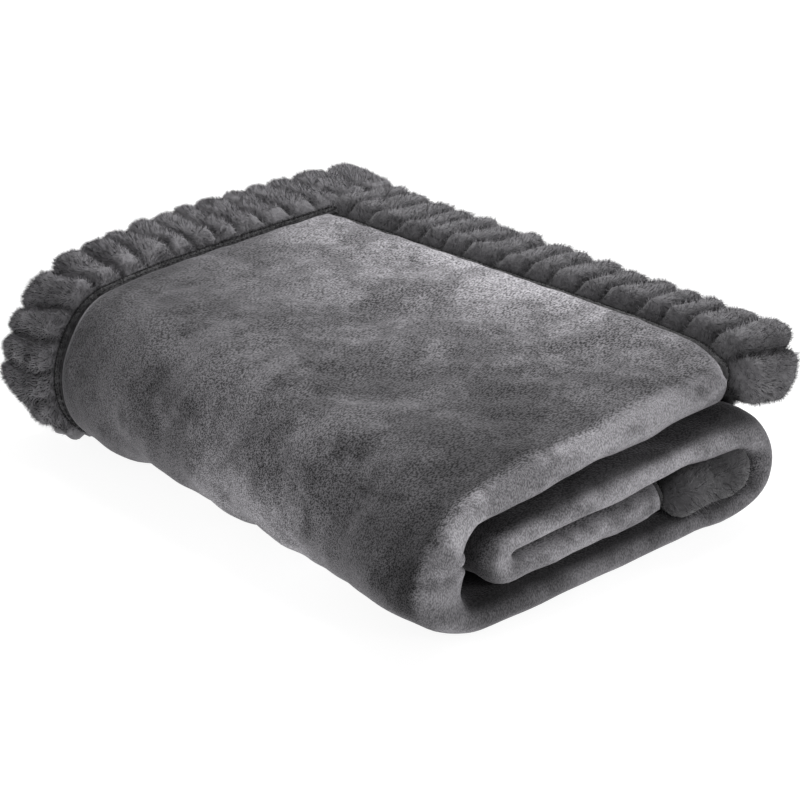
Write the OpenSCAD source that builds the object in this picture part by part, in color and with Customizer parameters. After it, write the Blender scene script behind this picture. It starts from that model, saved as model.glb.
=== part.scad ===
// Folded throw blanket: a flannel cloth with a faux-fur border on all four edges.
//
// The cloth is first folded in four along its length, which makes a band four plies thick.
// Seen from the face that ends up outside, the plies lie in the order 1, 4, 3, 2: plies 1 and 2
// turn over the outer right fold, 4 and 3 over the inner right fold, 2 and 3 over the left fold.
// The band is then rolled up in four layers: top, over the front roll to bottom, over the back
// roll to middle, over the inner roll to inner, whose end lies inside the back roll.
//
// X runs along the rolls, Y from front to back and Z up. The origin is at the middle of the
// underside. Every run of the band is drawn from one cross-section in (x, n), where n is the
// height over the middle of the band, positive towards ply 1.

/* [Folded size] */
// Length along the rolls, fur edge included
fold_w = 500; // [420:5:560]
// Depth of the rolled stack from the front roll to the back roll
stack_l = 350; // [320:5:420]
// How far the top layer's fur edge reaches past the back roll
back_overhang = 20; // [10:1:30]
// How far the inner roll lies behind the front roll's centre
inner_set_back = 30; // [10:1:40]
// How far the slack inner plies stand into the front roll
roll_slack = 20; // [8:1:24]
// Thickness of one layer, four plies of cloth
layer_t = 31; // [24:1:36]
// Free space between two layers
layer_gap = 0.5; // [0.4:0.1:1]

/* [Fur border] */
// Width of the fur border
border_w = 65; // [45:1:80]
// Distance from one fur rib to the next
rib_pitch = 27; // [18:1:32]
// How far a rib stands up from the cloth
rib_rise = 9; // [2:0.5:12]
// How far the fur edge stands out beyond the left fold of the cloth
edge_out = 10; // [4:1:16]

/* [Seam] */
// Width of the flat pressed band between fur and flannel
seam_w = 10; // [6:1:14]
// Depth of the band below the pile
seam_depth = 1.5; // [1:0.1:2.5]
// Length of one stitch
stitch_l = 3.2; // [2:0.1:4]
// Distance from one stitch to the next
stitch_pitch = 5; // [4.5:0.1:7]
// Thickness of the thread
thread_t = 0.7; // [0.4:0.1:0.9]

/* [Hidden] */
$fn = 64;
half_t = layer_t / 2;
ply_t = layer_t / 4;
pitch = layer_t + layer_gap;
overall_l = rib_rise + stack_l + back_overhang;

// Planes along X: where the fur ends, where the seam band ends, and the middle of both folds
x_left = -fold_w / 2;
x_right = fold_w / 2;
x_fur = x_left + border_w;
x_seam = x_fur + seam_w;
x_right_fold = x_right - half_t;
x_left_fold = x_left + edge_out + ply_t;

// Heights of the middle of each layer
z_bottom = half_t;
z_inner = z_bottom + pitch;
z_middle = z_inner + pitch;
z_top = z_middle + pitch;

// The rolls: middle radius, centre height and centre depth; the inner roll is set back
r_front = (z_top - z_bottom) / 2;
r_back = (z_middle - z_bottom) / 2;
r_inner = (z_middle - z_inner) / 2;
z_front = (z_top + z_bottom) / 2;
z_back = (z_middle + z_bottom) / 2;
z_nest = (z_middle + z_inner) / 2;
y_front = -overall_l / 2 + rib_rise + r_front + half_t;
y_back = overall_l / 2 - back_overhang - r_back - half_t;
y_nest = y_front + inner_set_back;

// The end borders: of the top layer, and of the inner layer, whose round tip fills the back roll
y_top_end = overall_l / 2;
y_top_fur = y_top_end - border_w;
y_top_seam = y_top_fur - seam_w;
tip_r = r_back - half_t - layer_gap;
y_inner_fur = y_back + tip_r - border_w;
y_inner_seam = y_inner_fur - seam_w;

// The runs of the band. A flat run is [name, "flat", start, end, middle height, way up, end of its
// left seam, end of its left fur]; a roll is [name, "roll", centre y, centre z, radius, side].
RUNS = [
    ["top", "flat", y_front, y_top_seam, z_top, 1, y_top_fur, y_top_end],
    ["front_roll", "roll", y_front, z_front, r_front, -1],
    ["bottom", "flat", y_front, y_back, z_bottom, -1, y_back, y_back],
    ["back_roll", "roll", y_back, z_back, r_back, 1],
    ["middle", "flat", y_nest, y_back, z_middle, 1, y_back, y_back],
    ["inner_roll", "roll", y_nest, z_nest, r_inner, -1],
    ["inner", "flat", y_nest, y_inner_seam, z_inner, -1, y_inner_fur, y_back]
];

// Where the left border shows its ribs and its stitching: run, first and last place on its surface
rolled = PI * (r_front + half_t);
rolled_back = PI * (r_back + half_t);
RIBBED = [
    ["top", 0, y_top_end - y_front],
    ["front_roll", 0, rolled * 0.82],
    ["back_roll", rolled_back * 0.2, rolled_back * 0.8]
];
STITCHED = [
    ["top", 0, y_top_fur - y_front],
    ["front_roll", 0, rolled],
    ["back_roll", 0, rolled_back]
];

// ---- Cross-sections in (x, n) ----

// Folded cloth: full thickness from x_open to the round right fold, and below it the left fold
module folded_section(x_open, inset = 0) {
    h = half_t - inset;
    translate([x_open, -h]) square([x_right_fold - x_open, 2 * h]);
    translate([x_right_fold, 0]) circle(h);
    translate([x_left_fold, -h]) square([x_open - x_left_fold, h]);
    translate([x_left_fold, -h / 2]) circle(h / 2);
}

// A fur strip between two heights, round at its free left end
module strip_section(x0, n0, n1) {
    r = (n1 - n0) / 2;
    translate([x0 + r, n0]) square([x_fur - x0 - r, n1 - n0]);
    translate([x0 + r, n0 + r]) circle(r);
}

// ---- Carrying a cross-section or a detail along a run ----

// Straight along Y from y0 to y1, with the middle of the band at height z
module along_flat(y0, y1, z, up) {
    translate([0, y1, z]) rotate([90, 0, 0]) linear_extrude(y1 - y0)
        mirror([0, up < 0 ? 1 : 0]) children();
}

// Half a turn about a line along X; side is 1 for a back roll and -1 for a front roll
module along_roll(run) {
    translate([0, run[2], run[3]]) mirror([0, run[5] < 0 ? 1 : 0, 0]) rotate([0, 90, 0])
        rotate_extrude(angle = 180) translate([run[4], 0]) mirror([1, -1]) children();
}

module along(run, y_end) {
    if (run[1] == "flat") along_flat(run[2], y_end, run[4], run[5]) children();
    else along_roll(run) children();
}

// A detail drawn at height n over the middle of the band, moved s along its outer surface
module placed(run, s) {
    if (run[1] == "flat") translate([0, run[2] + s, run[4]]) children();
    else translate([0, run[2], run[3]]) mirror([0, run[5] < 0 ? 1 : 0, 0])
        rotate([-s / (run[4] + half_t) * 180 / PI, 0, 0]) translate([0, 0, run[4]]) children();
}

// ---- Details of the border ----

// One rib of fur along X, from x0 to x1, standing on the upper half of the strip
module rib(x0, x1) {
    r = (ply_t + rib_rise) / 2;
    translate([x0, 0, ply_t + r]) rotate([0, 90, 0]) cylinder(r = r, h = x1 - x0);
}

// The two rows of stitches that hold the seam band, drawn across a band that starts at x = 0
module stitch_pair() {
    for (x = [seam_w * 0.2, seam_w * 0.8])
        translate([x - thread_t / 2, -stitch_l / 2, half_t - seam_depth])
            cube([thread_t, stitch_l, thread_t]);
}

module ribs(run) {
    for (row = RIBBED)
        if (row[0] == run[0])
            for (s = [row[1] + rib_pitch / 2 : rib_pitch : row[2] - rib_pitch / 2])
                placed(run, s) rib(x_left + ply_t, x_fur);
}

// ---- Sub-parts ----

module panel(run) color("#67666a") {
    along(run, run[3]) folded_section(x_seam);
    if (run[0] == "front_roll") slack();
}

// The inner plies hang slack in the front roll and fill the front of its hollow
module slack() {
    hollow_r = r_front - half_t;
    intersection() {
        translate([x_fur, y_front, z_front]) rotate([0, 90, 0])
            cylinder(r = hollow_r + 1, h = x_right_fold - x_fur);
        translate([x_fur, y_front - hollow_r - 2, z_front - hollow_r])
            cube([x_right_fold - x_fur, roll_slack + 2, 2 * hollow_r]);
    }
}

module near_fur(run) color("#4b4a4e") {
    along(run, run[7]) strip_section(x_left, ply_t, half_t);
    ribs(run);
}

module far_fur(run) color("#454448")
    along(run, run[7]) strip_section(x_left + edge_out / 2, 0, ply_t);

module near_seam(run) color("#3a393c")
    along(run, run[6]) translate([x_fur, ply_t]) square([seam_w, ply_t - seam_depth]);

module far_seam(run) color("#3a393c")
    along(run, run[6]) translate([x_fur, 0]) square([seam_w, ply_t - seam_depth / 2]);

module stitching(row) color("#2c2b2e") {
    run = [for (r = RUNS) if (r[0] == row[0]) r][0];
    for (s = [row[1] + stitch_pitch / 2 : stitch_pitch : row[2] - stitch_pitch / 2])
        placed(run, s) translate([x_fur, 0, 0]) stitch_pair();
}

// The top layer's back border: one strip folded in four with the cloth, ribbed on top
module top_back_fur() color("#4b4a4e") {
    y_edge = y_top_end - ply_t;
    along_flat(y_top_fur, y_edge, z_top, 1) folded_section(x_fur);
    for (z = [z_top - ply_t, z_top + ply_t])
        translate([x_fur, y_edge, z]) rotate([0, 90, 0])
            cylinder(r = ply_t, h = x_right_fold - x_fur);
    for (x = [x_fur + rib_pitch / 2 : rib_pitch : x_right_fold])
        translate([x, y_edge, z_top]) rotate([0, 0, -90]) rib(0, border_w - ply_t);
}

module top_back_seam() color("#3a393c")
    along_flat(y_top_seam, y_top_fur, z_top, 1) folded_section(x_seam, seam_depth);

module top_back_stitching() color("#2c2b2e")
    for (x = [x_seam + stitch_pitch / 2 : stitch_pitch : x_right_fold])
        translate([x, y_top_fur, z_top]) rotate([0, 0, -90]) stitch_pair();

// The inner layer's end border, folded in four, with its round tip inside the back roll
module inner_end_fur() color("#454448") {
    along_flat(y_inner_fur, y_back, z_inner, -1) folded_section(x_fur);
    translate([x_fur, y_back, z_inner]) rotate([0, 90, 0])
        cylinder(r = tip_r, h = x_right_fold - x_fur);
}

module inner_end_seam() color("#3a393c")
    along_flat(y_inner_seam, y_inner_fur, z_inner, -1) folded_section(x_seam, seam_depth);

// ---- Nodes ----

for (run = RUNS) {
    panel(run);
    near_fur(run);
    far_fur(run);
    near_seam(run);
    far_seam(run);
}
for (row = STITCHED)
    stitching(row);
top_back_fur();
top_back_seam();
top_back_stitching();
inner_end_fur();
inner_end_seam();
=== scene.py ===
"""Looks of the folded throw blanket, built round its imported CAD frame.

The blanket is a band of four plies that is rolled up in four layers. Everything is drawn in the
band's own coordinates and then placed: x along the rolls, s along the band from the back edge of
the top layer, and n over the middle of the band, positive towards ply 1. settle() then gives the
whole stack its soft, slightly uneven shape, so all pieces stay together. Units are metres.
"""

import math

import bpy
import numpy as np
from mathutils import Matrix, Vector


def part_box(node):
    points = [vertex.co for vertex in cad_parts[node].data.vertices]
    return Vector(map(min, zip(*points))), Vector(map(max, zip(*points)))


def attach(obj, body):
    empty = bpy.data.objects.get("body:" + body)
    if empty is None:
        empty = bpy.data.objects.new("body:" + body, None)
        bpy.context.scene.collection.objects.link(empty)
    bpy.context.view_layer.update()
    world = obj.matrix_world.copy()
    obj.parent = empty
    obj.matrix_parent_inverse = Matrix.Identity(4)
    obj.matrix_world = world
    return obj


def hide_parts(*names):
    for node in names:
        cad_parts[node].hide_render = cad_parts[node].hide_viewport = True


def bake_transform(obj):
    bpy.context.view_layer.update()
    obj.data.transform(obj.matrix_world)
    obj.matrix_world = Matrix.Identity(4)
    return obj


MM = 0.001

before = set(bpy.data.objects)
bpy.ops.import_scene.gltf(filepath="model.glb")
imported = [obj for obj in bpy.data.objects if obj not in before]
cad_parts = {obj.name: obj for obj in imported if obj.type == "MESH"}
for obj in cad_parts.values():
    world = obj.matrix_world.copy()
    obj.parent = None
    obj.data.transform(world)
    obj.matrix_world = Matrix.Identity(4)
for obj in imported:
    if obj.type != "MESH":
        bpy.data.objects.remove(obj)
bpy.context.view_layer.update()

# ---------------------------------------------------------------- the frame's own sizes

top_lo, top_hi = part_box("top_panel")
bottom_lo, bottom_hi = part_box("bottom_panel")
middle_lo, middle_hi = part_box("middle_panel")
inner_lo, inner_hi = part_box("inner_panel")
seam_lo, seam_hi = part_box("top_near_seam")

HALF = (top_hi.z - top_lo.z) / 2
PLY = HALF / 2
X_RIGHT = top_hi.x
X_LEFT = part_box("top_near_fur")[0].x
X_FOLD = top_lo.x
X_FUR = seam_lo.x
X_SEAM = seam_hi.x

Z_TOP = (top_lo.z + top_hi.z) / 2
Z_MIDDLE = (middle_lo.z + middle_hi.z) / 2
Z_INNER = (inner_lo.z + inner_hi.z) / 2
Z_BOTTOM = (bottom_lo.z + bottom_hi.z) / 2
HEIGHT = top_hi.z

Y_FRONT = top_lo.y
Y_BACK = bottom_hi.y
Y_NEST = middle_lo.y
Y_TOP_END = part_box("top_back_fur")[1].y
Y_INNER_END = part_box("inner_end_fur")[1].y
BORDER = X_FUR - X_LEFT
SEAM = X_SEAM - X_FUR

# ---------------------------------------------------------------- the look's driving values

CLOTH_T = 7.1 * MM          # thickness of one ply of flannel
SWELL = 1.8 * MM            # soft swells of the cloth's face
RIPPLE = 0.6 * MM           # smaller ones on them
PUCKER = 0.5 * MM           # and puckers along the seams
RIB_PITCH = 27 * MM         # from one fur rib to the next
RIB_RISE = 11 * MM          # crest of a rib over its valley
SEAM_DROP = 2.0 * MM        # the seam band lies this far below the pile
SEAM_SUNK = 2.2 * MM        # its middle is this much lower still
SEAM_ROUND = 3.0 * MM       # and this is half its thickness
FUR_DEPTH = 4 * MM          # a strip reaches this far down beside its ply
PILE_LONG = 5.2 * MM        # blades of the border's pile
PILE_WIDE = 0.34 * MM
END_PILE_LONG = 9 * MM      # the inner end's fur isn't combed flat
SEAM_PILE_LONG = 3.2 * MM   # blades on the seam bands
SEAM_PILE_WIDE = 0.32 * MM
PILE_ROOT = 0.6 * MM        # a blade starts this far below its skin
PILE_REACH = 23 * MM        # no blade stands further out than this past either end
FRONT_SLACK = 21 * MM       # the inner plies hang this far into the front roll
BACK_PRESSED = 14 * MM      # and are pressed this much flatter in the back roll
SEAM_SHIFT = 20 * MM        # the back seam bows this far back between its ends
END_SEAM_SHIFT = 15 * MM    # and the inner end's seam turns this far forward at the right fold
DIP = 2.6 * MM              # the flannel is pulled down this far where it runs into a seam band
DIP_WIDTH = 5 * MM
STITCH_PITCH = 5 * MM
FINE = 4.5 * MM             # mesh step where the cloth is seen
ROLL_STEP = 3 * MM          # mesh step round the front and inner rolls
BACK_STEP = 4 * MM          # and round the back one
COARSE = 9 * MM             # mesh step where it is seen less
MEET = 8 * MM               # on this stretch beside their joint the two cloth meshes are finest
HIDDEN = 30 * MM            # mesh step between the plies
WAVE_COUNT = 9              # plane waves in each patch of unevenness
SEED = 7

# ---------------------------------------------------------------- small helpers


def smooth(t):
    """0 below 0, 1 above 1, and an even ramp between."""
    t = np.clip(t, 0, 1)
    return t * t * (3 - 2 * t)


def steps(a, b, step):
    """Even samples from a to b, both included, no further apart than step."""
    return np.linspace(a, b, max(2, int(math.ceil(abs(b - a) / step)) + 1))


def waves(u, v, length, seed):
    """Smooth, seeded unevenness of about -1 to 1, with bumps about length apart."""
    rng = np.random.default_rng(seed)
    total = np.zeros(np.broadcast(u, v).shape)
    for _ in range(WAVE_COUNT):
        turn = rng.uniform(0, 2 * math.pi)
        k = 2 * math.pi / (length * rng.uniform(0.75, 1.5))
        phase = rng.uniform(0, 2 * math.pi)
        total += np.sin(k * (u * math.cos(turn) + v * math.sin(turn)) + phase)
    return total / math.sqrt(WAVE_COUNT)


def add_object(name, data):
    """A new object in the scene, with that mesh, light or camera."""
    obj = bpy.data.objects.new(name, data)
    bpy.context.scene.collection.objects.link(obj)
    return obj


def store_painted_light(obj, lightness):
    """Stores how light each point of the mesh is painted, with its painted sheen and shade, for its material.
    """
    layer = obj.data.attributes.new("painted_sheen_and_shade", "FLOAT", "POINT")
    layer.data.foreach_set("value", lightness.astype(np.float32))


def unit(vectors):
    """The vectors at length 1."""
    return vectors / np.linalg.norm(vectors, axis=1, keepdims=True)


# ---------------------------------------------------------------- the rolled band


class Band:
    """The middle line of the rolled band, in Y and Z, as a chain of flats and half rolls."""

    def __init__(self):
        self.runs = []
        self.start = {}
        self.length = 0.0

    def flat(self, name, y0, y1, z, up):
        self._add(name, abs(y1 - y0), ("flat", y0, math.copysign(1, y1 - y0), z, up))

    def roll(self, name, y, z_from, z_to, side):
        radius = abs(z_from - z_to) / 2
        self._add(name, math.pi * radius, ("roll", y, (z_from + z_to) / 2, radius, side, z_from > z_to))

    def _add(self, name, length, shape):
        self.start[name] = self.length
        self.runs.append((self.length, self.length + length, shape))
        self.length += length

    def at(self, s):
        """Middle line (y, z) and outward normal (ny, nz) at each s."""
        s = np.asarray(s, float)
        y, z, ny, nz = (np.zeros(s.shape) for _ in range(4))
        for i, (a, b, shape) in enumerate(self.runs):
            low = -np.inf if i == 0 else a
            high = np.inf if i == len(self.runs) - 1 else b
            here = (s >= low) & (s < high)
            t = s[here] - a
            if shape[0] == "flat":
                _, y0, heading, height, up = shape
                y[here] = y0 + heading * t
                z[here] = height
                nz[here] = up
            else:
                _, yc, zc, radius, side, downward = shape
                turn = t / radius
                ny[here] = side * np.sin(turn)
                nz[here] = np.cos(turn) * (1 if downward else -1)
                y[here] = yc + radius * ny[here]
                z[here] = zc + radius * nz[here]
        return y, z, ny, nz


band = Band()
band.flat("top", Y_TOP_END, Y_FRONT, Z_TOP, 1)
band.roll("front_roll", Y_FRONT, Z_TOP, Z_BOTTOM, -1)
band.flat("bottom", Y_FRONT, Y_BACK, Z_BOTTOM, -1)
band.roll("back_roll", Y_BACK, Z_BOTTOM, Z_MIDDLE, 1)
band.flat("middle", Y_BACK, Y_NEST, Z_MIDDLE, 1)
band.roll("inner_roll", Y_NEST, Z_MIDDLE, Z_INNER, -1)
band.flat("inner", Y_NEST, Y_INNER_END, Z_INNER, -1)

RUNS = tuple(band.start)
S_FRONT = band.start["front_roll"]
S_BOTTOM = band.start["bottom"]
S_BACK = band.start["back_roll"]
S_MIDDLE = band.start["middle"]
S_NEST = band.start["inner_roll"]
S_INNER = band.start["inner"]
S_END = band.length
S_FUR_IN = BORDER                 # the top layer's back border ends here
S_SEAM_IN = BORDER + SEAM
S_FUR_OUT = S_END - BORDER        # the inner layer's end border starts here
S_SEAM_OUT = S_FUR_OUT - SEAM


def outer_place(s):
    """The place s measured along the outer face, which is longer round the rolls."""
    knots = [0.0]
    for a, b, shape in band.runs:
        stretch = 1 if shape[0] == "flat" else 1 + HALF / shape[3]
        knots.append(knots[-1] + (b - a) * stretch)
    return np.interp(s, [0.0] + [b for _, b, _ in band.runs], knots)


def stagger(s):
    """How far the right fold of the band stands out at s: the layers don't end in one plane."""
    knots = [0, S_FRONT, (S_FRONT + S_BOTTOM) / 2, S_BOTTOM, S_BACK, S_MIDDLE, S_NEST, S_INNER, S_END]
    reach = [-1, -1, 9, 9, 10, 12, 9, 8, 8]
    return np.interp(s, knots, np.array(reach) * MM)


def over_plan(table, x, y):
    """A smooth field over the plan from a 3 x 3 table: rows front, middle, back; columns left to right."""
    u, v = x / X_RIGHT, y / Y_TOP_END
    across = ((u * u - u) / 2, 1 - u * u, (u * u + u) / 2)
    depth = ((v * v - v) / 2, 1 - v * v, (v * v + v) / 2)
    return sum(table[i][j] * depth[i] * across[j] for i in range(3) for j in range(3))


# Millimetres over the plan: how far the top layer is pressed down, with all below it in step, how
# far the top layer alone is lifted, and how far the stack is slid back.
PRESSED = ((8, 7, 38), (0, 0, 12), (0, 0, 6))
LIFTED = ((0, 0, 0), (5, 4, 0), (6, 14, 14))
SLID = ((15, 13, -2), (0, 0, 0), (0, 0, 0))
HEIGHT_SWAY, HEIGHT_WAVES = 1.5 * MM, 0.22    # how far the edges wander, and over what length
DEPTH_SWAY, DEPTH_WAVES = 2 * MM, 0.30
END_SWAY, END_WAVES = 2.5 * MM, 0.18
LEFT_BULGE = 10 * MM        # the top layer's left edge stands out by this much in its middle
FOLD_CURL = (0, 1 * MM, 6 * MM)     # the bottom layer's right end lifts off the floor, front to back
FLOOR_FLAT = 3 * MM         # the lowest stretch of pile is pressed flat on the floor
CEILING, CEILING_SOFT = 138 * MM, 9 * MM    # the highest fur is eased down from here


def settle(p):
    """The stack's soft shape: pressed down at the front right, and with edges that wander."""
    x, y, z = p[:, 0], p[:, 1], p[:, 2]
    h = np.clip(z / HEIGHT, 0, 1.2)
    under_top = np.clip(z / (Z_TOP - HALF), 0, 1)
    top = smooth((z - Z_MIDDLE - 0.6 * HALF) / (1.3 * HALF))
    out = p.copy()
    out[:, 2] = z - over_plan(PRESSED, x, y) * MM * under_top + over_plan(LIFTED, x, y) * MM * top
    out[:, 2] += HEIGHT_SWAY * waves(x, y, HEIGHT_WAVES, SEED) * h
    out[:, 1] = y + over_plan(SLID, x, y) * MM + DEPTH_SWAY * waves(x, z, DEPTH_WAVES, SEED + 1) * h
    bulge = np.cos(np.clip((y - 0.03) / 0.16, -1, 1) * math.pi / 2) ** 2 * smooth((-x - 0.02) / 0.16)
    out[:, 0] = x + END_SWAY * waves(y, z, END_WAVES, SEED + 2) - LEFT_BULGE * bulge * top
    curl = smooth((x - 0.13) / 0.12) * np.interp(y, (Y_FRONT, 0, Y_BACK), FOLD_CURL)
    out[:, 2] += curl * np.clip(1 - z / (2 * HALF), 0, 1)
    low = out[:, 2] < FLOOR_FLAT
    out[low, 2] = FLOOR_FLAT * np.exp((out[low, 2] - FLOOR_FLAT) / FLOOR_FLAT)
    high = out[:, 2] > CEILING
    out[high, 2] = CEILING + CEILING_SOFT * (1 - np.exp((CEILING - out[high, 2]) / CEILING_SOFT))
    return out


def slack(s, n):
    """How far back the inner plies stand: slack in the front roll, pressed flat in the back roll."""
    front = np.clip((s - S_FRONT) / (S_BOTTOM - S_FRONT), 0, 1)
    back = np.clip((s - S_BACK) / (S_MIDDLE - S_BACK), 0, 1)
    inner = np.clip((HALF - n) / (2 * HALF), 0, 1)
    return inner * (FRONT_SLACK * np.sin(math.pi * front) ** 2 + BACK_PRESSED * np.sin(math.pi * back) ** 2)


def bow(x, s):
    """The end seams aren't straight: the top one bows back, and both turn forward at the right fold."""
    at_right = smooth((x - 0.20) / (X_RIGHT - 0.20))
    along = smooth((x - X_SEAM) / 0.35) * (1 - 0.6 * at_right)
    near_top_seam = smooth(s / S_FUR_IN) * (1 - smooth((s - S_SEAM_IN) / 0.12))
    near_end_seam = smooth((s - S_SEAM_OUT + 0.10) / 0.10) * (1 - smooth((s - S_FUR_OUT) / BORDER))
    return s - SEAM_SHIFT * along * near_top_seam - END_SEAM_SHIFT * at_right * near_end_seam


def place(x, s, n):
    """Points in space for band coordinates x, s, n."""
    x, s, n = np.broadcast_arrays(x, s, n)
    s = bow(x, s)
    y, z, ny, nz = band.at(s)
    right = smooth((x - 0.10) / (X_RIGHT - 0.10))
    p = np.stack([x + stagger(s) * right, y + n * ny + slack(s, n), z + n * nz], axis=-1)
    return settle(p.reshape(-1, 3)).reshape(p.shape)


# ---------------------------------------------------------------- making meshes


def loft(name, points, skin):
    """A closed tube from points[row, ring place], with capped ends, as a smooth mesh object."""
    rows, ring, _ = points.shape
    index = np.arange(rows * ring).reshape(rows, ring)
    nxt = np.roll(index, -1, axis=1)
    quads = np.stack([index[:-1], nxt[:-1], nxt[1:], index[1:]], axis=-1).reshape(-1, 4)
    verts = [tuple(p) for p in points.reshape(-1, 3)]
    faces = [tuple(q) for q in quads]
    for row, flip in ((0, True), (rows - 1, False)):
        verts.append(tuple(points[row].mean(axis=0)))
        centre = len(verts) - 1
        for a, b in zip(index[row], nxt[row]):
            faces.append((centre, b, a) if flip else (centre, a, b))
    mesh = bpy.data.meshes.new(name)
    mesh.from_pydata(verts, [], faces)
    mesh.validate()
    mesh.polygons.foreach_set("use_smooth", [i < len(quads) for i in range(len(mesh.polygons))])
    mesh.materials.append(skin)
    obj = add_object(name, mesh)
    face_out(obj)
    return obj


def face_out(obj):
    """Turns the mesh so that its normals point outwards."""
    mesh = obj.data
    mesh.calc_loop_triangles()
    co = np.array([v.co for v in mesh.vertices])
    tris = np.array([t.vertices for t in mesh.loop_triangles])
    a, b, c = co[tris[:, 0]], co[tris[:, 1]], co[tris[:, 2]]
    if np.einsum("ij,ij->i", a, np.cross(b, c)).sum() < 0:
        mesh.flip_normals()


# ---------------------------------------------------------------- cloth, folded in four


def line(x0, x1, n, up, step, seen):
    """A straight stretch of the ring: x, n, normal (nx, nn) and how much it is seen."""
    x = steps(x0, x1, step)
    return [np.stack([x, np.full_like(x, n), np.zeros_like(x), np.full_like(x, up),
                      np.full_like(x, seen)], axis=1)]


def arc(xc, nc, radius, a0, a1, count, seen, outward=1):
    """A bend of the ring about (xc, nc), from angle a0 to a1 in degrees."""
    a = np.radians(np.linspace(a0, a1, count + 2)[1:-1])
    return [np.stack([xc + radius * np.cos(a), nc + radius * np.sin(a), outward * np.cos(a),
                      outward * np.sin(a), np.full_like(a, seen)], axis=1)]


def cloth_ring():
    """The closed outline of the cloth in (x, n): out along its outer face, back along its inner."""
    d = CLOTH_T / 2
    n1, n4, n3, n2 = 1.5 * PLY, 0.5 * PLY, -0.5 * PLY, -1.5 * PLY
    right = X_RIGHT - HALF
    left = X_FOLD + PLY
    outer, inner = 1.5 * PLY, 0.5 * PLY
    ring = line(X_SEAM, right, n1 + d, 1, FINE, 1)
    ring += arc(right, 0, outer + d, 90, -90, 13, 1)
    ring += line(right, left, n2 - d, -1, COARSE, 1)
    ring += arc(left, (n2 + n3) / 2, inner + d, 270, 90, 7, 1)
    ring += line(left, right, n3 + d, 1, HIDDEN, 0)
    ring += arc(right, 0, inner - d, -90, 90, 2, 0, -1)
    ring += line(right, X_SEAM, n4 - d, -1, HIDDEN, 0)
    ring += line(X_SEAM, right, n4 + d, 1, HIDDEN, 0)
    ring += arc(right, 0, inner + d, 90, -90, 6, 0)
    ring += line(right, left, n3 - d, -1, HIDDEN, 0)
    ring += arc(left, (n2 + n3) / 2, inner - d, 90, 270, 2, 0, -1)
    ring += line(left, right, n2 + d, 1, HIDDEN, 0)
    ring += arc(right, 0, outer - d, -90, 90, 7, 0, -1)
    ring += line(right, X_SEAM, n1 - d, -1, HIDDEN, 0)
    return np.concatenate(ring)


def wrinkles(x, s):
    """Unevenness of the cloth's outer face: soft swells, and puckers along the seams."""
    from_left = np.abs(x - X_SEAM)
    from_end = np.minimum(np.abs(s - S_SEAM_IN), np.abs(s - S_SEAM_OUT))
    free = smooth(np.minimum(from_left, from_end) / 0.05)
    swell = SWELL * waves(x, s, 0.075, SEED + 3) + RIPPLE * waves(x, s, 0.030, SEED + 4)
    pucker_left = np.exp(-from_left / 0.022) * waves(s, 0 * s, 0.028, SEED + 5)
    pucker_end = np.exp(-from_end / 0.022) * waves(x, 0 * x, 0.028, SEED + 6)
    calm = 1 - 0.5 * smooth((x - X_RIGHT + HALF) / HALF)
    return swell * free * calm + PUCKER * (pucker_left + pucker_end)


# The pinches at the front roll's right end: how far each lies past the middle of the roll and how
# deep it is, in millimetres, and how far it turns along the band for each step to the right.
PINCHES = ((-34, 2.0, 0.6), (-16, 2.2, -0.5))
PINCH_X = X_RIGHT - 6 * MM
PINCH_LENGTH = 11 * MM
PINCH_WIDTH = 3.5 * MM
LIP_OFF, LIP_WIDTH = 7 * MM, 5 * MM     # beside each, the cloth is pushed up in a lip half as high


def creases(x, s):
    """Short pinched creases where the front roll turns into the right fold."""
    depth = np.zeros(np.broadcast(x, s).shape)
    middle = (S_FRONT + S_BOTTOM) / 2
    for ahead, deep, slope in PINCHES:
        across = s - middle - ahead * MM - slope * (x - PINCH_X)
        dip = np.exp(-(across / PINCH_WIDTH) ** 2)
        lip = np.exp(-((across - LIP_OFF) / LIP_WIDTH) ** 2)
        depth += deep * MM * (dip - 0.5 * lip) * np.exp(-((x - PINCH_X) / PINCH_LENGTH) ** 2)
    return -depth


def seam_dip(x, s):
    """How far the cloth's face is pulled down where it runs into a seam band."""
    left = np.where(x < X_SEAM + 0.03, np.exp(-np.abs(x - X_SEAM) / DIP_WIDTH), 0)
    ends = np.exp(-np.abs(s - S_SEAM_IN) / DIP_WIDTH) + np.exp(-np.abs(s - S_SEAM_OUT) / DIP_WIDTH)
    return -DIP * np.clip(left + ends, 0, 1)


# How light the top layer is painted over the plan, above 1 lighter and below 1 darker: painted sheen towards
# the back middle, where the light grazes it, and painted shade towards the front.
TOP_SHEEN_AND_SHADE = ((0.10, 0.80, 0.30), (0.34, 0.84, 0.33), (1.75, 2.80, 0.80))
FRONT_SHEEN_AND_SHADE = (0.20, 0.35, 1.80, 0.50, 0.20)    # at the foot of the front roll, at each FRONT_X: painted shade on the front face, lighter just right of the middle
FRONT_X = (X_LEFT, -0.12, 0.09, 0.16, X_RIGHT)
UNDER_SHADE = 0.8             # painted shade on the cloth behind it, which faces down or lies inside
FOLD_SHEEN_AND_SHADE = (0.85, 2.20, 0.72, 0.78, 1.55, 1.65, 1.45)     # on the right fold, run by run of the band: painted sheen where a fold catches the light, painted shade where it doesn't
GAP_SHADE_LEVEL = 0.12               # and how dark the painted shade is there on the upper side, under the next layer


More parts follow.
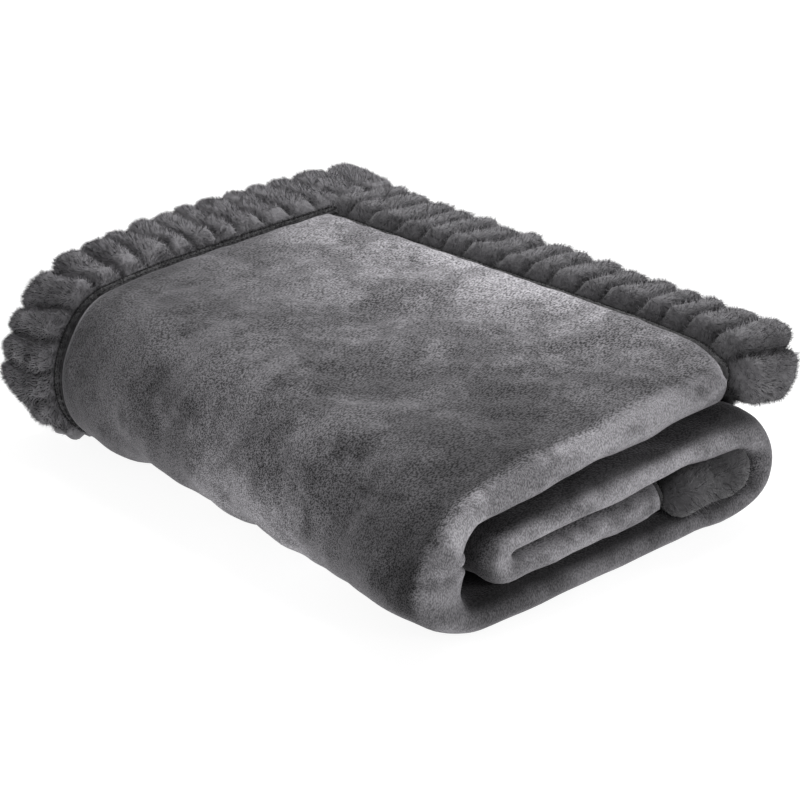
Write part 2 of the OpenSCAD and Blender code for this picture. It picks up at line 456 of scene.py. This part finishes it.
def painted_sheen_and_shade(x, s, out_x, out_n, points):
    """How light each point of the cloth is painted: the nap's lie with painted sheen where it catches the
    light, and painted shade on the front face, the undersides and the gaps under the layer above.
    """
    on_fold = np.interp(s, [band.start[run] for run in RUNS], FOLD_SHEEN_AND_SHADE)
    _, _, ny, nz = band.at(s)
    facing_up = out_n * nz
    in_hollow = smooth((-out_n * ny - 0.1) / 0.6) * (s > S_MIDDLE)
    round_front = smooth((s - S_FRONT) / (S_BOTTOM - S_FRONT))
    above = over_plan(TOP_SHEEN_AND_SHADE, points[..., 0], points[..., 1]) * (1 - round_front)
    foot = np.interp(x, FRONT_X, FRONT_SHEEN_AND_SHADE)
    behind = smooth((s - S_BOTTOM) / (S_BACK - S_BOTTOM))
    on_ply = above + round_front * (foot + (UNDER_SHADE - foot) * behind)
    fold = smooth(out_x * 1.3)
    open_sheen_and_shade = on_ply * (1 - fold) + on_fold * fold
    # Painted shade: on the right fold, the upper side of a layer under the one above it, and the hollow of
    # the inner roll, are painted dark.
    gap_shade = round_front * smooth((facing_up - 0.25) / 0.60)
    gap_shade = gap_shade * np.interp(s, (S_MIDDLE, S_NEST, S_INNER), (1, 1, 0.6))
    gap_shade = np.maximum(gap_shade, 0.75 * in_hollow) * smooth((x - X_RIGHT + 0.08) / 0.04)
    return np.clip(open_sheen_and_shade * (1 - (1 - GAP_SHADE_LEVEL) * gap_shade), 0.1, 2.8)


def cloth(name, s, skin):
    """The four plies between two places along the band, as one closed sheet."""
    ring = cloth_ring()
    x = np.broadcast_to(ring[:, 0], (len(s), len(ring)))
    n = np.broadcast_to(ring[:, 1], x.shape)
    along = np.broadcast_to(s[:, None], x.shape)
    out_x, out_n, seen = ring[:, 2], ring[:, 3], ring[:, 4]
    upper = (out_n > 0.3) & (seen > 0)
    lift = seen * wrinkles(x, along) + upper * seam_dip(x, along)
    lift = lift + seen * creases(x, along)
    points = place(x + lift * out_x, along, n + lift * out_n)
    obj = loft(name, points, skin)
    lightness = painted_sheen_and_shade(x, along, np.broadcast_to(out_x, x.shape), np.broadcast_to(out_n, x.shape), points)
    store_painted_light(obj, np.append(lightness.ravel(), [1, 1]))
    return obj


# ---------------------------------------------------------------- fur strips and seam bands


def ribs(along, across, seed):
    """Height from 0 in a valley to 1 on a crest, for a place along a strip and across it."""
    wander = 0.13 * waves(along, across * 0, 0.11, seed) + 0.09 * waves(along, across, 0.06, seed + 1)
    curve = 0.30 * (1 - np.clip(across / BORDER, 0, 1)) ** 2
    phase = along / RIB_PITCH + wander + curve
    crest = np.abs(np.sin(math.pi * phase + 0.35 * np.sin(2 * math.pi * phase))) ** 0.9
    uneven = 1 + 0.14 * waves(along, across, 0.035, seed + 2)
    return np.clip(crest * uneven, 0, 1.25)


PILE_ROOM = {}              # for each strip, 1 at the points where its pile stands free
PILE_LIT = {}               # and how light the pile is painted there: darkest in the rib valleys, as painted shade


def level(amount):
    """The same amount all along a strip."""
    return lambda along: np.full(along.shape, amount)


TOP_ROWS, EDGE_ROWS, UNDER_ROWS = 15, 5, 9      # points on a strip's top, edge and underside


def strip_outline(count):
    """For each of count rows, how far across the strip its points lie, and their turn in radians."""
    w0 = np.concatenate([np.linspace(0, 1, TOP_ROWS), np.full(EDGE_ROWS, 1.0), np.linspace(1, 0, UNDER_ROWS)])
    turn = np.concatenate([np.full(TOP_ROWS, 90.0), np.linspace(62, -62, EDGE_ROWS),
                           np.full(UNDER_ROWS, -90.0)])
    shape = (count, len(w0))
    return np.broadcast_to(w0, shape), np.radians(np.broadcast_to(turn, shape))


def strip(name, length, to_band, seed, skin, top=level(0), edge=level(0), flare=level(0), fine=True,
          measure=outer_place, bright=1.0):
    """A ribbed strip of fur. w runs from its seam to its edge and d is the height over the ply.

    top is the height of its outer face, edge the extra height towards the edge, and flare the
    extra width, each for a place along it. to_band turns (place, w, d) into band coordinates,
    measure gives the length along the strip by which its ribs are spaced, and bright how light its
    pile is.
    """
    step = RIB_PITCH / (11 if fine else 6)
    along = steps(length[0], length[1], step)
    w0, turn = strip_outline(len(along))
    place_along = np.broadcast_to(along[:, None], w0.shape)
    rise = ribs(measure(place_along), w0 * BORDER, seed)
    width = BORDER - 8 * MM + 8 * MM * rise + flare(place_along)
    from_seam = smooth(w0 / 0.16)
    to_edge = np.sqrt(np.clip(1 - np.clip((w0 - 0.80) / 0.2, 0, 1) ** 2 * 0.5, 0, 1))
    height = top(place_along) + edge(place_along) * w0 ** 2 + RIB_RISE * (rise - 0.55)
    up = (height * from_seam - SEAM_DROP * (1 - from_seam)) * to_edge
    middle, radius = (up - FUR_DEPTH) / 2, (up + FUR_DEPTH) / 2
    round_end = np.abs(turn) < 1.5
    d = np.where(round_end, middle + radius * np.sin(turn), np.where(turn > 0, up, -FUR_DEPTH))
    reach = np.clip(radius, 0, 6 * MM)
    w = np.where(round_end, width - reach + reach * np.cos(turn), w0 * (width - reach))
    w = w + np.where(from_seam > 0.5, 0.5 * MM * waves(place_along, w * 3 + d, 0.012, seed + 3), 0)
    x, s, n = to_band(place_along, w, d)
    obj = loft(name, place(x, s, n), skin)
    # Painted shade: the skin and its pile are painted darker in the rib valleys and lighter on the crests.
    lit = bright * np.append(np.clip(0.30 + 0.80 * rise, 0, 1.2).ravel(), [0.5, 0.5])
    store_painted_light(obj, lit)
    PILE_ROOM[name] = np.append((turn > -1.2).ravel(), [True, True]) * 1.0
    PILE_LIT[name] = lit
    return obj


def seam_tube(name, length, to_band, seed, skin):
    """The pressed band between fur and flannel: a low ridge with a groove on each side."""
    along = steps(length[0], length[1], STITCH_PITCH / 2)
    turn = np.radians(np.linspace(0, 360, 13)[:-1])
    turn = np.broadcast_to(turn, (len(along), len(turn)))
    place_along = np.broadcast_to(along[:, None], turn.shape)
    pinch = 1 - 0.16 * np.abs(np.cos(math.pi * place_along / STITCH_PITCH))
    wander = 0.6 * MM * waves(place_along, 0 * turn, 0.05, seed)
    w = -SEAM / 2 + 0.52 * SEAM * np.cos(turn) + wander
    d = -SEAM_DROP - SEAM_SUNK + SEAM_ROUND * np.sin(turn) * pinch
    x, s, n = to_band(place_along, w, d)
    obj = loft(name, place(x, s, n), skin)
    store_painted_light(obj, np.ones(len(obj.data.vertices)))
    PILE_ROOM[name] = np.append((np.sin(turn) > 0.3).ravel(), [False, False]) * 1.0
    PILE_LIT[name] = np.full(len(obj.data.vertices), 0.4)
    return obj


def stitches(name, length, to_band, skin):
    """Two rows of short stitches that hold the band down, as one piece."""
    middle = np.arange(length[0] + STITCH_PITCH / 2, length[1], STITCH_PITCH)
    reach = np.array([-1.7, -1.3, 0, 1.3, 1.7]) * MM
    radius = np.array([0.05, 0.42, 0.5, 0.42, 0.05]) * MM
    turn = np.radians(np.arange(0, 360, 60))
    row = np.array([0.20, 0.80]) * SEAM
    along = middle[:, None, None, None] + reach[:, None]
    w = -row[:, None, None] + radius[:, None] * np.cos(turn)
    d = -SEAM_DROP + 0.2 * MM + radius[:, None] * np.sin(turn)
    along, w, d = np.broadcast_arrays(along, w, d)
    x, s, n = to_band(along, w, d)
    points = place(x, s, n)
    index = np.arange(points[..., 0].size).reshape(along.shape)
    after = np.roll(index, -1, axis=-1)
    faces = np.stack([index[..., :-1, :], after[..., :-1, :], after[..., 1:, :], index[..., 1:, :]], -1)
    mesh = bpy.data.meshes.new(name)
    mesh.from_pydata(points.reshape(-1, 3).tolist(), [], faces.reshape(-1, 4).tolist())
    mesh.polygons.foreach_set("use_smooth", [True] * len(mesh.polygons))
    mesh.materials.append(skin)
    return add_object(name, mesh)


def left_of(ply_n, out=1):
    """Band coordinates for a strip along the left edge, on a ply whose outer face is at ply_n."""
    return lambda along, w, d: (X_FUR - w, along, ply_n + out * d)


def ply_path(u):
    """The middle of the folded plies at distance u from the left end of ply 1: x, n and normal."""
    right, left = X_RIGHT - HALF, X_FOLD + PLY
    outer, inner = 1.5 * PLY, 0.5 * PLY
    flats = (right - X_FUR, right - left, right - left, right - X_FUR)
    bends = (math.pi * outer, math.pi * inner, math.pi * inner)
    ends = np.cumsum([flats[0], bends[0], flats[1], bends[1], flats[2], bends[2], flats[3]])
    u = np.asarray(u, float)
    x, n, nx, nn = (np.zeros(u.shape) for _ in range(4))

    def straight(a, b, x0, heading, height):
        here = (u >= a) & (u <= b)
        x[here] = x0 + heading * (u[here] - a)
        n[here] = height
        nn[here] = heading

    def bend(a, b, xc, nc, radius, start, turn):
        here = (u > a) & (u < b)
        angle = start + turn * (u[here] - a) / radius
        x[here] = xc + radius * np.cos(angle)
        n[here] = nc + radius * np.sin(angle)
        nx[here] = -turn * np.cos(angle)
        nn[here] = -turn * np.sin(angle)

    straight(-1, ends[0], X_FUR - 1, 1, 1.5 * PLY)
    bend(ends[0], ends[1], right, 0, outer, math.pi / 2, -1)
    straight(ends[1], ends[2], right, -1, -1.5 * PLY)
    bend(ends[2], ends[3], left, -PLY, inner, 1.5 * math.pi, -1)
    straight(ends[3], ends[4], left, 1, -0.5 * PLY)
    bend(ends[4], ends[5], right, 0, inner, -math.pi / 2, 1)
    straight(ends[5], ends[6] + 1, right, -1, 0.5 * PLY)
    return x, n, nx, nn


def end_of(s_seam, away):
    """Band coordinates for a strip across the band, whose seam is at s_seam; away is -1 or 1."""

    def to_band(along, w, d):
        x, n, nx, nn = ply_path(along)
        return x + nx * d, s_seam + away * w, n + nn * d

    return to_band


# ---------------------------------------------------------------- pile


def scatter(skin, count, rng):
    """Random places on a skin where pile can stand: root, outward direction and painted lightness of each."""
    mesh = skin.data
    mesh.calc_loop_triangles()
    co = np.array([v.co for v in mesh.vertices])
    normals = np.array([v.normal for v in mesh.vertices])
    tris = np.array([t.vertices for t in mesh.loop_triangles])
    a, b, c = co[tris[:, 0]], co[tris[:, 1]], co[tris[:, 2]]
    area = np.linalg.norm(np.cross(b - a, c - a), axis=1) / 2
    room = PILE_ROOM[skin.name][tris].min(axis=1)
    on_floor = ((a + b + c)[:, 2] / 3 < 10 * MM) & (normals[tris].mean(axis=1)[:, 2] < -0.2)
    area = area * room * ~on_floor
    pick = tris[rng.choice(len(tris), size=count, p=area / area.sum())]
    r1, r2 = np.sqrt(rng.random(count)), rng.random(count)
    weights = np.stack([1 - r1, r1 * (1 - r2), r1 * r2], axis=1)
    root = (co[pick] * weights[:, :, None]).sum(axis=1)
    up = unit((normals[pick] * weights[:, :, None]).sum(axis=1))
    return root, up, (PILE_LIT[skin.name][pick] * weights).sum(axis=1)


def blades(name, corners, shade, tone, materials):
    """A mesh of single triangles from corners[blade, corner], each with its direction and tone."""
    count = len(corners)
    mesh = bpy.data.meshes.new(name)
    mesh.vertices.add(count * 3)
    mesh.vertices.foreach_set("co", corners.astype(np.float32).ravel())
    mesh.loops.add(count * 3)
    mesh.loops.foreach_set("vertex_index", np.arange(count * 3, dtype=np.int32))
    mesh.polygons.add(count)
    mesh.polygons.foreach_set("loop_start", np.arange(0, count * 3, 3, dtype=np.int32))
    mesh.polygons.foreach_set("loop_total", np.full(count, 3, dtype=np.int32))
    for each in materials:
        mesh.materials.append(each)
    mesh.update()
    mesh.polygons.foreach_set("material_index", tone.astype(np.int32))
    mesh.polygons.foreach_set("use_smooth", np.ones(count, dtype=bool))
    mesh.normals_split_custom_set_from_vertices(np.repeat(shade, 3, axis=0).tolist())
    return add_object(name, mesh)


def pile(name, skin, count, length, width, seed, materials, lean):
    """Loose fibres on a skin: thin blades that lean with gravity and shade like the skin."""
    rng = np.random.default_rng(seed)
    root, up, lit = scatter(skin, count, rng)
    comb = np.stack([waves(root[:, 0], root[:, 1], 0.020, seed + 1),
                     waves(root[:, 1], root[:, 2], 0.020, seed + 2),
                     waves(root[:, 2], root[:, 0], 0.020, seed + 3)], axis=1)
    tuft = waves(root[:, 0] + root[:, 2], root[:, 1] - root[:, 2], 0.008, seed + 4)
    aim = unit(0.7 * up + 0.36 * comb + 0.22 * rng.normal(size=(count, 3)) + np.array(lean))
    aim = np.where((aim * up).sum(axis=1, keepdims=True) < 0.15, aim + 0.6 * up, aim)
    side = unit(np.cross(aim, rng.normal(size=(count, 3))))
    long = length * rng.uniform(0.55, 1.1, (count, 1)) * (1 + 0.18 * tuft[:, None])
    root = root - up * PILE_ROOT
    tip = root + aim * long
    tip[:, 2] = np.clip(tip[:, 2], 0.5 * MM, CEILING + CEILING_SOFT + 1 * MM)
    tip[:, 0] = np.clip(tip[:, 0], X_LEFT - PILE_REACH, X_RIGHT + PILE_REACH)
    corners = np.stack([root - side * width / 2, root + side * width / 2, tip], axis=1)
    # A blade's grey follows the skin's painted shade, darker in the rib valleys, with a random spread.
    tone = lit * len(materials) - 0.5 + 0.35 * tuft + rng.normal(0, 0.5, count)
    tone = np.clip(tone, 0, len(materials) - 0.01)
    return blades(name, corners, unit(up + 0.25 * aim), tone, materials)


# ---------------------------------------------------------------- materials


def material(name):
    """A new node material and its Principled shader, and helpers that add nodes and join them."""
    mat = bpy.data.materials.new(name)
    mat.use_nodes = True
    tree = mat.node_tree
    shader = tree.nodes["Principled BSDF"]

    def add(kind, inputs=(), **settings):
        node = tree.nodes.new(kind)
        for key, value in settings.items():
            setattr(node, key, value)
        for key, value in dict(inputs).items():
            if isinstance(value, bpy.types.NodeSocket):
                tree.links.new(value, node.inputs[key])
            else:
                node.inputs[key].default_value = value
        return node

    return mat, shader, add, tree.links.new


def surface(shader, roughness, specular, sheen=0.0, sheen_roughness=0.5):
    """The shader's finish, for cloth a matt one with some sheen."""
    shader.inputs["Roughness"].default_value = roughness
    shader.inputs["Specular IOR Level"].default_value = specular
    shader.inputs["Sheen Weight"].default_value = sheen
    shader.inputs["Sheen Roughness"].default_value = sheen_roughness


def grey(lightness):
    """A near-neutral colour, a touch violet as the dyed cloth is."""
    return (lightness, lightness * 0.975, lightness * 1.03, 1)


def with_painted_light(add, colour):
    """The colour, made lighter or darker by the painted sheen and shade stored at each point of the mesh."""
    lightness = add("ShaderNodeAttribute", attribute_name="painted_sheen_and_shade").outputs["Fac"]
    return add("ShaderNodeVectorMath", {0: colour, "Scale": lightness}, operation="SCALE").outputs[0]


def stroke_grain(add, where, scale, contrast):
    """Fine brushed strokes, finer in the directions with the larger scale."""
    stretched = add("ShaderNodeMapping", {"Vector": where, "Rotation": (0.2, 0.0, 0.3), "Scale": scale})
    noise = add("ShaderNodeTexNoise", {"Vector": stretched.outputs[0], "Scale": 1.0, "Detail": 0.0})
    edge = (1 - contrast) / 2
    return add("ShaderNodeMapRange", {0: noise.outputs["Fac"], 1: 0.33, 2: 0.67, 3: edge, 4: 1 - edge})


def make_flannel():
    """Velour plush: fine brushed grain, broad patches where the nap lies the other way, sheen, and the
    painted sheen and shade stored on the mesh.
    """
    mat, shader, add, link = material("flannel")
    where = add("ShaderNodeTexCoord").outputs["Object"]
    drawn_out = add("ShaderNodeMapping", {"Vector": where, "Scale": (1.15, 0.9, 1.0)})
    patches = add("ShaderNodeTexNoise", {"Vector": drawn_out.outputs[0], "Scale": 12.5, "Detail": 4.0,
                                         "Roughness": 0.62, "Distortion": 0.5})
    mottle = add("ShaderNodeTexNoise", {"Vector": drawn_out.outputs[0], "Scale": 65.0, "Detail": 3.0})
    both = add("ShaderNodeMath", {0: mottle.outputs["Fac"], 1: 0.38, 2: patches.outputs["Fac"]},
               operation="MULTIPLY_ADD")
    patch = add("ShaderNodeMapRange", {0: both.outputs[0], 1: 0.60, 2: 0.78})
    facing = add("ShaderNodeSeparateXYZ", {0: add("ShaderNodeTexCoord").outputs["Normal"]})
    sideways = add("ShaderNodeMapRange", {0: facing.outputs["X"], 1: 0.3, 2: 0.8})
    on_top = stroke_grain(add, where, (1100.0, 480.0, 1100.0), 1.0)
    on_fold = stroke_grain(add, where, (1200.0, 1300.0, 560.0), 0.5)
    grain = add("ShaderNodeMix", {0: sideways.outputs[0], 2: on_top.outputs[0], 3: on_fold.outputs[0]})
    dark = add("ShaderNodeMix", {0: grain.outputs[0], 6: grey(0.010), 7: grey(0.165)}, data_type="RGBA")
    light = add("ShaderNodeMix", {0: grain.outputs[0], 6: grey(0.065), 7: grey(0.310)}, data_type="RGBA")
    colour = add("ShaderNodeMix", {0: patch.outputs[0], 6: dark.outputs[2], 7: light.outputs[2]},
                 data_type="RGBA")
    link(with_painted_light(add, colour.outputs[2]), shader.inputs["Base Color"])
    bump = add("ShaderNodeBump", {"Height": grain.outputs[0], "Strength": 0.3, "Distance": 0.0015})
    link(bump.outputs[0], shader.inputs["Normal"])
    surface(shader, roughness=0.85, specular=0.15, sheen=0.35, sheen_roughness=0.45)
    shader.inputs["Sheen Tint"].default_value = grey(0.75)
    return mat


def make_fur(name, low, high):
    """Faux fur skin: clumps of pile, painted darker between them as shade where the bump dips."""
    mat, shader, add, link = material(name)
    where = add("ShaderNodeTexCoord").outputs["Object"]
    clumps = add("ShaderNodeTexNoise", {"Vector": where, "Scale": 190.0, "Detail": 4.0,
                                        "Roughness": 0.65, "Distortion": 0.6})
    tone = add("ShaderNodeMapRange", {0: clumps.outputs["Fac"], 1: 0.33, 2: 0.67})
    # Painted shade: the colour darkens where the clump noise, which is also the bump's height, is low.
    colour = add("ShaderNodeMix", {0: tone.outputs[0], 6: grey(low), 7: grey(high)}, data_type="RGBA")
    link(with_painted_light(add, colour.outputs[2]), shader.inputs["Base Color"])
    bump = add("ShaderNodeBump", {"Height": clumps.outputs["Fac"], "Strength": 0.6, "Distance": 0.003})
    link(bump.outputs[0], shader.inputs["Normal"])
    surface(shader, roughness=0.9, specular=0.12, sheen=0.25)
    return mat


def plain(name, lightness):
    """One even grey: a blade of pile, or the thread."""
    mat, shader, _, _ = material(name)
    shader.inputs["Base Color"].default_value = grey(lightness)
    surface(shader, roughness=0.85, specular=0.15)
    return mat


FLANNEL = make_flannel()
FUR = make_fur("fur", 0.075, 0.135)
BAND_CLOTH = make_fur("seam_band", 0.022, 0.055)
THREAD = plain("thread", 0.03)
# Greys of the blades, darkest first; pile() gives blades in the rib valleys the darker ones, as painted
# shade.
PILE = [plain("pile_deep", 0.048), plain("pile_mid", 0.105), plain("pile_light", 0.165),
        plain("pile_tip", 0.225)]
SEAM_PILE = [plain("seam_pile_deep", 0.022), plain("seam_pile_light", 0.060)]

# ---------------------------------------------------------------- pieces

FLAP, STACK = "top_flap", "folded_stack"


wrap_trim, core_trim = [], []    # what is sewn to the cloth's outer part, and to its inner part


def cross_front_roll(obj):
    """The piece runs round the front roll: its place is baked into its mesh, and it is put on no body."""
    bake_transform(obj)


def finish_piece(obj, body, slot, nodes=()):
    """Puts a piece on its body, or with none bakes its place, hides the CAD nodes whose place it takes, and
    notes it as trim unless its slot is flannel.
    """
    if body is None:
        cross_front_roll(obj)
    else:
        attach(obj, body)
    if nodes:
        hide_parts(*nodes)
    if slot != "flannel":
        (core_trim if body == STACK else wrap_trim).append(obj)


def rows(start, *stretches):
    """Places along the band from start on: each stretch is its end and the step between rows."""
    places = [np.array([start])]
    for end, step in stretches:
        places.append(steps(places[-1][-1], end, step)[1:])
    return np.concatenate(places)


s_wrap = rows(S_SEAM_IN, (S_FRONT, FINE), (S_BOTTOM, ROLL_STEP), (S_BACK - MEET, COARSE),
              (S_BACK, MEET / 6))
s_core = rows(S_BACK, (S_BACK + MEET, MEET / 6), (S_MIDDLE, BACK_STEP), (S_NEST, COARSE),
              (S_INNER, ROLL_STEP), (S_SEAM_OUT, COARSE))
cloth_wrap = cloth("cloth_top_to_bottom", s_wrap, FLANNEL)
cloth_core = cloth("cloth_back_to_inner", s_core, FLANNEL)
finish_piece(cloth_wrap, None, "flannel", [f"{run}_panel" for run in RUNS[:3]])
finish_piece(cloth_core, STACK, "flannel", [f"{run}_panel" for run in RUNS[3:]])

fur_pieces = []             # each strip with its body, its number of blades and their lean
LEAN_LEFT = (-0.55, 0, -0.15)
LEAN_BACK = (0, 0.55, -0.15)


def add_strip(name, body, nodes, *args, blades_on=12000, lean=LEAN_LEFT, **settings):
    """A fur strip as a piece, noted down so that it gets its pile later."""
    obj = strip(name, *args, **settings)
    finish_piece(obj, body, "fur", nodes)
    fur_pieces.append((obj, body, blades_on, lean))


def near_edge(s):
    """The left border stands higher towards its edge, most of all beside the top layer's middle."""
    return np.interp(s, (0, 0.06, 0.18, 0.27, 0.34), (13, 11, 12, 7, 0)) * MM


def near_flare(s):
    """It is squeezed narrower from under the front roll to the back roll."""
    knots = (0.15, 0.22, S_FRONT, S_BOTTOM - 0.07, S_BOTTOM - 0.02, S_BACK, S_BACK + 0.05, S_MIDDLE)
    return np.interp(s, knots, (0, -6, -5, -2, -30, -26, -8, 0)) * MM


# Its pile is painted half again as light: painted light for the left-facing border, which the lamps reach
# little.
add_strip("near_fur_top_to_bottom", None, [f"{run}_near_fur" for run in RUNS[:3]],
          (0.0, S_BACK), left_of(HALF), SEED + 20, FUR, level(4 * MM), near_edge, near_flare,
          bright=1.5, blades_on=85000)
add_strip("near_fur_back_to_inner", STACK, [f"{run}_near_fur" for run in RUNS[3:]],
          (S_BACK, S_END), left_of(HALF), SEED + 30, FUR, level(2 * MM), flare=near_flare, fine=False,
          blades_on=38000)
add_strip("far_fur_top_to_bottom", None, [f"{run}_far_fur" for run in RUNS[:3]],
          (0.0, S_BACK), left_of(0.0, -1), SEED + 40, FUR, level(2 * MM), flare=near_flare, fine=False,
          blades_on=20000)
add_strip("far_fur_back_to_inner", STACK, [f"{run}_far_fur" for run in RUNS[3:]],
          (S_BACK, S_END), left_of(0.0, -1), SEED + 50, FUR, level(2 * MM), flare=near_flare, fine=False)

ply_length = 4 * (X_RIGHT - HALF) - 2 * X_FUR - 2 * (X_FOLD + PLY) + math.pi * 2.5 * PLY
outer_length = 2 * (X_RIGHT - HALF) - X_FUR - (X_FOLD + PLY) + math.pi * 1.5 * PLY


def at_fold(u):
    """1 where the back border turns round the right fold, falling to 0 some 6 cm away."""
    return np.exp(-(((u - outer_length + X_RIGHT - X_LEFT - HALF) / (40 * MM)) ** 2))


def back_top(u):
    """The back border is fullest at its left end and where it turns round the fold."""
    return 6 * MM + 3 * MM * at_fold(u) + 3 * MM * (1 - smooth(u / 0.05))


def back_flare(u):
    """It is also wider at the fold."""
    return 5 * MM * at_fold(u)


add_strip("top_back_fur_outer", FLAP, ["top_back_fur"], (0.0, outer_length), end_of(S_FUR_IN, -1),
          SEED + 60, FUR, back_top, flare=back_flare, measure=np.asarray, blades_on=76000,
          lean=LEAN_BACK)
add_strip("top_back_fur_inner", FLAP, [], (outer_length, ply_length), end_of(S_FUR_IN, -1),
          SEED + 70, FUR, level(2 * MM), flare=level(-3 * MM), fine=False, measure=np.asarray,
          lean=LEAN_BACK)
add_strip("inner_end_fur_outer", STACK, ["inner_end_fur"], (0.0, outer_length), end_of(S_FUR_OUT, 1),
          SEED + 80, FUR, level(10 * MM), fine=False, measure=np.asarray, bright=0.55,
          blades_on=22000, lean=LEAN_BACK)

shown_seams = []            # the bands that carry pile, with their bodies
for name, body, nodes, length, to_band in (
    ("near_seam_top_to_bottom", None, [f"{run}_near_seam" for run in RUNS[:3]],
     (S_FUR_IN, S_BACK), left_of(HALF)),
    ("near_seam_back_to_inner", STACK, [f"{run}_near_seam" for run in RUNS[3:]],
     (S_BACK, S_FUR_OUT), left_of(HALF)),
    ("far_seam_top_to_bottom", None, [f"{run}_far_seam" for run in RUNS[:3]],
     (S_FUR_IN, S_BACK), left_of(PLY)),
    ("far_seam_back_to_inner", STACK, [f"{run}_far_seam" for run in RUNS[3:]],
     (S_BACK, S_FUR_OUT), left_of(PLY)),
    ("top_back_seam_band", FLAP, ["top_back_seam"], (0.0, outer_length), end_of(S_FUR_IN, -1)),
    ("inner_end_seam_band", STACK, ["inner_end_seam"], (0.0, outer_length), end_of(S_FUR_OUT, 1)),
):
    seam = seam_tube(name, length, to_band, SEED + 90, BAND_CLOTH)
    finish_piece(seam, body, "seam_band", nodes)
    if name in ("near_seam_top_to_bottom", "top_back_seam_band", "inner_end_seam_band"):
        shown_seams.append((seam, body))

for name, body, nodes, length, to_band in (
    ("near_stitches_top_to_bottom", None, ["top_stitching", "front_roll_stitching"],
     (S_FUR_IN, S_BOTTOM), left_of(HALF)),
    ("near_stitches_back", STACK, ["back_roll_stitching"], (S_BACK, S_MIDDLE), left_of(HALF)),
    ("top_back_stitches", FLAP, ["top_back_stitching"], (0.0, outer_length), end_of(S_FUR_IN, -1)),
):
    finish_piece(stitches(name, length, to_band, THREAD), body, "thread", nodes)

for index, (skin, body, count, lean) in enumerate(fur_pieces):
    long = END_PILE_LONG if skin.name == "inner_end_fur_outer" else PILE_LONG
    fibres = pile("pile_" + skin.name, skin, count, long, PILE_WIDE, SEED + 100 + index, PILE, lean)
    finish_piece(fibres, body, "fur")

for index, (skin, body) in enumerate(shown_seams):
    lean = (0, 0.25, 0.1) if skin.name == "top_back_seam_band" else (-0.25, 0, 0.1)
    fibres = pile("pile_" + skin.name, skin, 9000, SEAM_PILE_LONG, SEAM_PILE_WIDE, SEED + 120 + index,
                  SEAM_PILE, lean)
    finish_piece(fibres, body, "seam_band")

# ---------------------------------------------------------------- light, floor and camera


def make_floor():
    """A white floor that also glows a little, as a photo studio's does."""
    bpy.ops.mesh.primitive_plane_add(size=12)
    floor = bpy.context.object
    floor.name = "floor"
    mat, shader, _, _ = material("floor")
    shader.inputs["Base Color"].default_value = (0.2, 0.2, 0.2, 1)
    shader.inputs["Emission Color"].default_value = (1, 1, 1, 1)
    shader.inputs["Emission Strength"].default_value = 0.9
    floor.data.materials.append(mat)


def area_light(name, place_at, aim, size, power):
    """A square lamp at place_at that points at aim."""
    light = bpy.data.lights.new(name, "AREA")
    light.shape = "SQUARE"
    light.size = size
    light.energy = power
    lamp = add_object(name, light)
    lamp.location = place_at
    lamp.rotation_euler = (Vector(aim) - Vector(place_at)).to_track_quat("-Z", "Y").to_euler()


def make_camera(azimuth, elevation, distance, lens, right, up):
    """A long lens at that azimuth and elevation, in degrees; right and up slide it sideways."""
    a, e = math.radians(azimuth), math.radians(elevation)
    back = Vector((math.sin(a) * math.cos(e), -math.cos(a) * math.cos(e), math.sin(e)))
    side = Vector((math.cos(a), math.sin(a), 0))
    above = back.cross(side)
    camera = add_object("camera", bpy.data.cameras.new("camera"))
    camera.location = back * distance + side * right + above * up
    camera.rotation_euler = back.to_track_quat("Z", "Y").to_euler()
    camera.data.lens = lens
    camera.data.sensor_width = 36
    bpy.context.scene.camera = camera


def make_world(strength):
    """Even white light from all round."""
    world = bpy.data.worlds.new("world")
    bpy.context.scene.world = world
    world.use_nodes = True
    world.node_tree.nodes["Background"].inputs["Color"].default_value = (1, 1, 1, 1)
    world.node_tree.nodes["Background"].inputs["Strength"].default_value = strength


make_floor()
AIM = (0, 0, 0.05)
area_light("key", (-0.5, 1.1, 1.9), AIM, size=1.2, power=53)
area_light("side", (1.9, 0.3, 0.7), AIM, size=0.8, power=9)
area_light("fill", (-0.4, -2.2, 1.4), AIM, size=1.4, power=8)
make_world(0.4)
bpy.context.scene.view_settings.view_transform = "Standard"
make_camera(azimuth=48.5, elevation=23.0, distance=2.0, lens=117, right=0.0225, up=0.0515)
